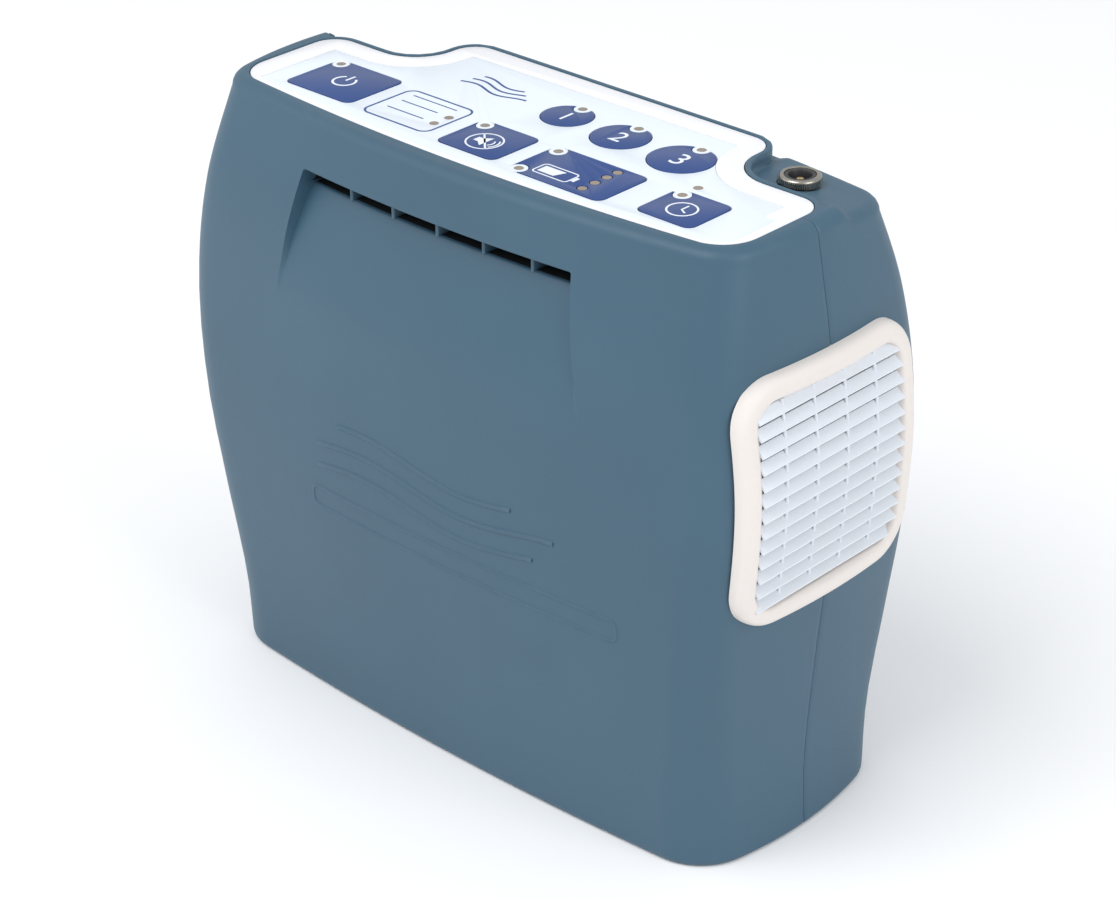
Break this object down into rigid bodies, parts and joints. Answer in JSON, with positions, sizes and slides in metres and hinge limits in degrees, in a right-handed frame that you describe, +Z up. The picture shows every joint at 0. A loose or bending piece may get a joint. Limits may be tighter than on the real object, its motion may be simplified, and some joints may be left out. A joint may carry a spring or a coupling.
{
  "type": "oxygen concentrator",
  "caption": "Portable oxygen concentrator: slate blue two-part case, membrane control panel on top, front vent slot and pull-off side intake grille.",
  "frame": {"origin": "middle of the flat base that the case stands on", "axes": "+X right, -Y front face with the vent, +Z up; the intake grille is on +X"},
  "size_m": [0.2336, 0.1108, 0.1977],
  "materials": {
    "case_plastic": "fine matte texture, slate blue",
    "panel_white": "satin white",
    "overlay_film": "satin film, bluish white",
    "key_blue": "satin, royal blue",
    "lamp_lens": "smoked lens",
    "spring_steel": "ground steel",
    "circuit_board": "green solder mask",
    "black_plastic": "moulded black",
    "contact_brass": "turned brass",
    "nickel": "dark nickel, straight knurl",
    "seal_rubber": "soft black",
    "grille_warm_white": "soft-touch warm white",
    "louvre_white": "cool white",
    "filter_foam": "open-cell foam",
    "cable_grey": "flat cable",
    "cell_wrap": "shrink wrap",
    "cast_alloy": "bead blasted",
    "copper_iron": "laminations and windings",
    "tank_plastic": "natural plastic",
    "silicone": "translucent silicone"
  },
  "bodies": {
    "case": {"front_shell": "case_plastic", "rear_shell": "case_plastic", "control_bezel": "panel_white", "keypad_overlay": "overlay_film", "indicator_windows": "lamp_lens", "key_domes": "spring_steel", "keypad_board": "circuit_board", "indicator_leds": "lamp_lens", "jack_body": "black_plastic", "jack_pin": "contact_brass", "jack_ring_nut": "nickel", "outlet_barb": "contact_brass", "outlet_seal": "seal_rubber", "base_pads": "seal_rubber", "case_screws": "spring_steel", "inner_frame": "black_plastic", "main_board": "circuit_board", "board_parts": "black_plastic", "ribbon_cable": "cable_grey", "buzzer": "black_plastic", "battery_cells": "cell_wrap", "battery_cradle": "black_plastic", "crankcase": "cast_alloy", "motor_stator": "copper_iron", "crank_bearings": "spring_steel", "cylinder_left": "cast_alloy", "cylinder_right": "cast_alloy", "cylinder_heads": "cast_alloy", "rubber_mounts": "seal_rubber", "sieve_beds": "cast_alloy", "sieve_caps": "black_plastic", "valve_manifold": "cast_alloy", "solenoid_valves": "black_plastic", "product_tank": "tank_plastic", "intake_muffler": "black_plastic", "air_tubes": "silicone", "fan_frame": "black_plastic"},
    "grille_cover": {"grille_bezel": "grille_warm_white", "grille_louvre": "louvre_white", "intake_filter": "filter_foam"},
    "fan_wheel": {"fan_rotor": "black_plastic"},
    "pump_shaft": {"motor_rotor": "spring_steel"},
    "rod_left": {"connecting_rod_left": "spring_steel"},
    "rod_right": {"connecting_rod_right": "spring_steel"},
    "plunger_left": {"piston_left": "cast_alloy"},
    "plunger_right": {"piston_right": "cast_alloy"},
    "key_power": {"key_power": "key_blue"},
    "key_mute": {"key_mute": "key_blue"},
    "key_battery": {"key_battery": "key_blue"},
    "key_hours": {"key_hours": "key_blue"},
    "key_flow_1": {"key_flow_1": "key_blue"},
    "key_flow_2": {"key_flow_2": "key_blue"},
    "key_flow_3": {"key_flow_3": "key_blue"}
  },
  "joints": [
    {"name": "key_power_press", "type": "slide", "parent": "case", "child": "key_power", "axis": [0, 0, 1], "range_m": [-0.0004, 0], "stiffness_N_per_m": 600},
    {"name": "key_mute_press", "type": "slide", "parent": "case", "child": "key_mute", "axis": [0, 0, 1], "range_m": [-0.0004, 0], "stiffness_N_per_m": 600},
    {"name": "key_battery_press", "type": "slide", "parent": "case", "child": "key_battery", "axis": [0, 0, 1], "range_m": [-0.0004, 0], "stiffness_N_per_m": 600},
    {"name": "key_hours_press", "type": "slide", "parent": "case", "child": "key_hours", "axis": [0, 0, 1], "range_m": [-0.0004, 0], "stiffness_N_per_m": 600},
    {"name": "key_flow_1_press", "type": "slide", "parent": "case", "child": "key_flow_1", "axis": [0, 0, 1], "range_m": [-0.0004, 0], "stiffness_N_per_m": 600},
    {"name": "key_flow_2_press", "type": "slide", "parent": "case", "child": "key_flow_2", "axis": [0, 0, 1], "range_m": [-0.0004, 0], "stiffness_N_per_m": 600},
    {"name": "key_flow_3_press", "type": "slide", "parent": "case", "child": "key_flow_3", "axis": [0, 0, 1], "range_m": [-0.0004, 0], "stiffness_N_per_m": 600},
    {"name": "grille_pull", "type": "slide", "parent": "case", "child": "grille_cover", "axis": [1, 0, 0], "range_m": [0, 0.03]},
    {"name": "fan_spin", "type": "hinge", "parent": "case", "child": "fan_wheel", "pos_m": [0.091, -0.004, 0.1245], "axis": [1, 0, 0], "continuous": true},
    {"name": "pump_spin", "type": "hinge", "parent": "case", "child": "pump_shaft", "pos_m": [0.046, 0, 0.044], "axis": [0, 1, 0], "continuous": true},
    {"name": "rod_left_turn", "type": "hinge", "parent": "pump_shaft", "child": "rod_left", "pos_m": [0.048, -0.004, 0.044], "axis": [0, 1, 0], "continuous": true},
    {"name": "rod_right_turn", "type": "hinge", "parent": "pump_shaft", "child": "rod_right", "pos_m": [0.048, 0.004, 0.044], "axis": [0, 1, 0], "continuous": true},
    {"name": "piston_left_stroke", "type": "slide", "parent": "case", "child": "plunger_left", "axis": [1, 0, 0], "range_m": [-0.004, 0]},
    {"name": "piston_right_stroke", "type": "slide", "parent": "case", "child": "plunger_right", "axis": [1, 0, 0], "range_m": [-0.004, 0]}
  ],
  "couplings": [
    {"joint": "rod_left_turn", "follows": "pump_spin", "ratio": -1},
    {"joint": "rod_right_turn", "follows": "pump_spin", "ratio": -1}
  ]
}
